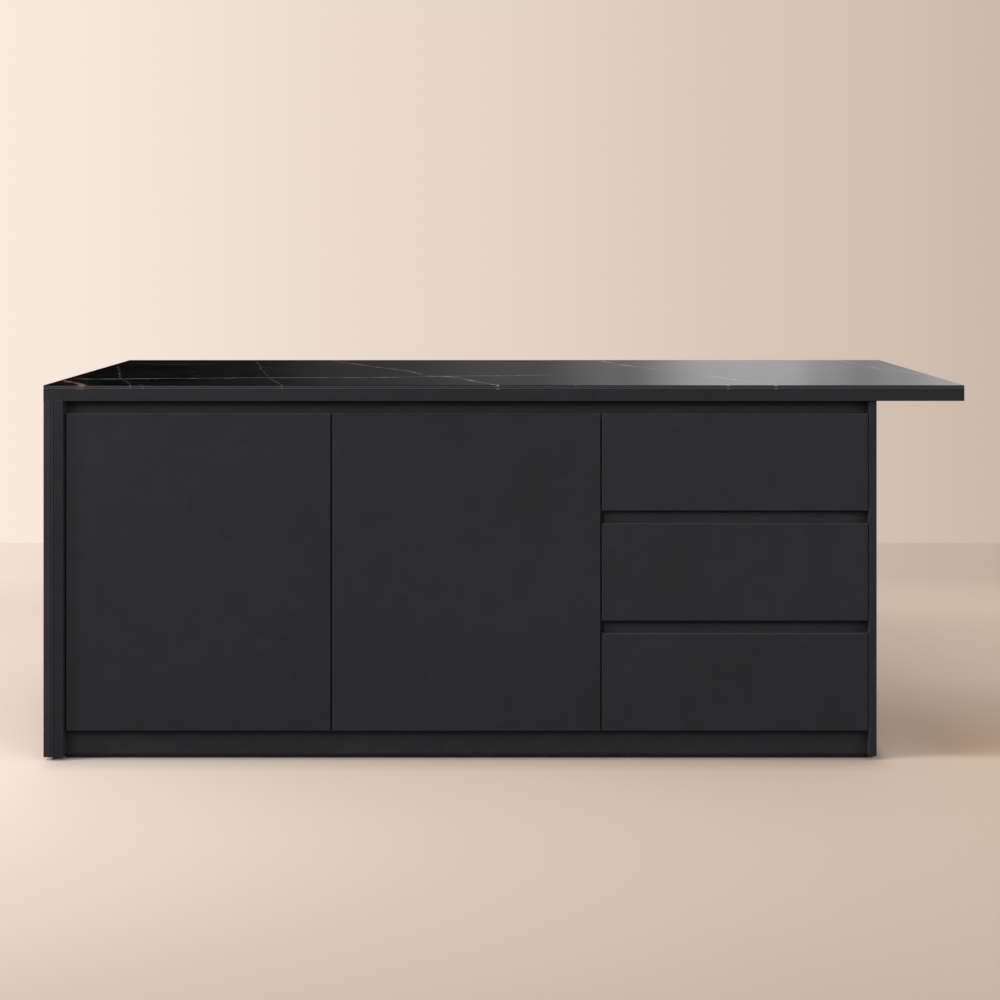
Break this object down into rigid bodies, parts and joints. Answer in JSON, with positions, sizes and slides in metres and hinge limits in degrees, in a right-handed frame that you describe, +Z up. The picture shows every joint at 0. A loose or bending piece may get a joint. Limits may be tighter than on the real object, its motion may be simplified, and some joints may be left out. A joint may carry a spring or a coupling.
{
  "type": "kitchen island unit",
  "caption": "Free-standing kitchen island: hinged cupboard doors, a stack of handleless drawers, finger channels, recessed plinth and a thin stone-topped worktop with overhangs.",
  "frame": {"origin": "centre of the worktop's outline, on the floor", "axes": "+X to the viewer's right along the island, -Y out of the side with the doors and drawers, +Z up"},
  "size_m": [2.225, 0.9, 0.908],
  "materials": {
    "polished_stone": "polished",
    "matt_black_board": "matte",
    "core_board": "satin",
    "cabinet_inside": "matte",
    "plinth_board": "matte",
    "black_anodised": "satin",
    "grey_coated_steel": "satin",
    "nickel_plated_steel": "satin",
    "glide_plastic": "matte"
  },
  "bodies": {
    "cabinet": {"worktop_slab": "polished_stone", "worktop_core": "core_board", "left_end_panel": "matt_black_board", "left_packer": "matt_black_board", "left_side_panel": "matt_black_board", "right_side_panel": "matt_black_board", "centre_partition": "cabinet_inside", "drawer_partition": "cabinet_inside", "base_panel": "cabinet_inside", "top_front_rail": "cabinet_inside", "top_rear_rail": "cabinet_inside", "back_panel": "matt_black_board", "plinth_front": "plinth_board", "plinth_rear": "plinth_board", "finger_channel_top": "black_anodised", "finger_channel_upper": "black_anodised", "finger_channel_lower": "black_anodised", "shelf_left": "cabinet_inside", "shelf_right": "cabinet_inside", "glide_front_left": "glide_plastic", "glide_rear_left": "glide_plastic", "glide_front_right": "glide_plastic", "glide_rear_right": "glide_plastic", "leg_front_middle": "glide_plastic", "leg_rear_middle": "glide_plastic", "hinge_arm_left_lower": "nickel_plated_steel", "hinge_arm_left_upper": "nickel_plated_steel", "hinge_arm_right_lower": "nickel_plated_steel", "hinge_arm_right_upper": "nickel_plated_steel", "bottom_runner_left": "grey_coated_steel", "bottom_runner_right": "grey_coated_steel", "middle_runner_left": "grey_coated_steel", "middle_runner_right": "grey_coated_steel", "top_runner_left": "grey_coated_steel", "top_runner_right": "grey_coated_steel"},
    "left_door": {"door_left": "matt_black_board", "hinge_cup_left_lower": "nickel_plated_steel", "hinge_cup_left_upper": "nickel_plated_steel"},
    "right_door": {"door_right": "matt_black_board", "hinge_cup_right_lower": "nickel_plated_steel", "hinge_cup_right_upper": "nickel_plated_steel"},
    "left_lower_link": {"hinge_link_left_lower": "nickel_plated_steel"},
    "left_upper_link": {"hinge_link_left_upper": "nickel_plated_steel"},
    "right_lower_link": {"hinge_link_right_lower": "nickel_plated_steel"},
    "right_upper_link": {"hinge_link_right_upper": "nickel_plated_steel"},
    "bottom_drawer": {"bottom_drawer_front": "matt_black_board", "bottom_drawer_floor": "cabinet_inside", "bottom_drawer_back": "cabinet_inside", "bottom_drawer_left_side": "grey_coated_steel", "bottom_drawer_right_side": "grey_coated_steel"},
    "middle_drawer": {"middle_drawer_front": "matt_black_board", "middle_drawer_floor": "cabinet_inside", "middle_drawer_back": "cabinet_inside", "middle_drawer_left_side": "grey_coated_steel", "middle_drawer_right_side": "grey_coated_steel"},
    "top_drawer": {"top_drawer_front": "matt_black_board", "top_drawer_floor": "cabinet_inside", "top_drawer_back": "cabinet_inside", "top_drawer_left_side": "grey_coated_steel", "top_drawer_right_side": "grey_coated_steel"}
  },
  "joints": [
    {"name": "left_door_hinge", "type": "hinge", "parent": "cabinet", "child": "left_door", "pos_m": [-1.0555, -0.432, 0.454], "axis": [0, 0, -1], "range_deg": [0, 95]},
    {"name": "right_door_hinge", "type": "hinge", "parent": "cabinet", "child": "right_door", "pos_m": [0.2275, -0.432, 0.454], "axis": [0, 0, 1], "range_deg": [0, 86]},
    {"name": "left_lower_link_pivot", "type": "hinge", "parent": "cabinet", "child": "left_lower_link", "pos_m": [-1.029, -0.426, 0.17], "axis": [0, 0, 1], "range_deg": [0, 44.65]},
    {"name": "left_upper_link_pivot", "type": "hinge", "parent": "cabinet", "child": "left_upper_link", "pos_m": [-1.029, -0.426, 0.738], "axis": [0, 0, 1], "range_deg": [0, 44.65]},
    {"name": "right_lower_link_pivot", "type": "hinge", "parent": "cabinet", "child": "right_lower_link", "pos_m": [0.201, -0.426, 0.17], "axis": [0, 0, -1], "range_deg": [0, 40.42]},
    {"name": "right_upper_link_pivot", "type": "hinge", "parent": "cabinet", "child": "right_upper_link", "pos_m": [0.201, -0.426, 0.738], "axis": [0, 0, -1], "range_deg": [0, 40.42]},
    {"name": "bottom_drawer_slide", "type": "slide", "parent": "cabinet", "child": "bottom_drawer", "axis": [0, -1, 0], "range_m": [0, 0.38]},
    {"name": "middle_drawer_slide", "type": "slide", "parent": "cabinet", "child": "middle_drawer", "axis": [0, -1, 0], "range_m": [0, 0.38]},
    {"name": "top_drawer_slide", "type": "slide", "parent": "cabinet", "child": "top_drawer", "axis": [0, -1, 0], "range_m": [0, 0.38]}
  ],
  "couplings": [
    {"joint": "left_lower_link_pivot", "follows": "left_door_hinge", "ratio": 0.47},
    {"joint": "left_upper_link_pivot", "follows": "left_door_hinge", "ratio": 0.47},
    {"joint": "right_lower_link_pivot", "follows": "right_door_hinge", "ratio": 0.47},
    {"joint": "right_upper_link_pivot", "follows": "right_door_hinge", "ratio": 0.47}
  ]
}
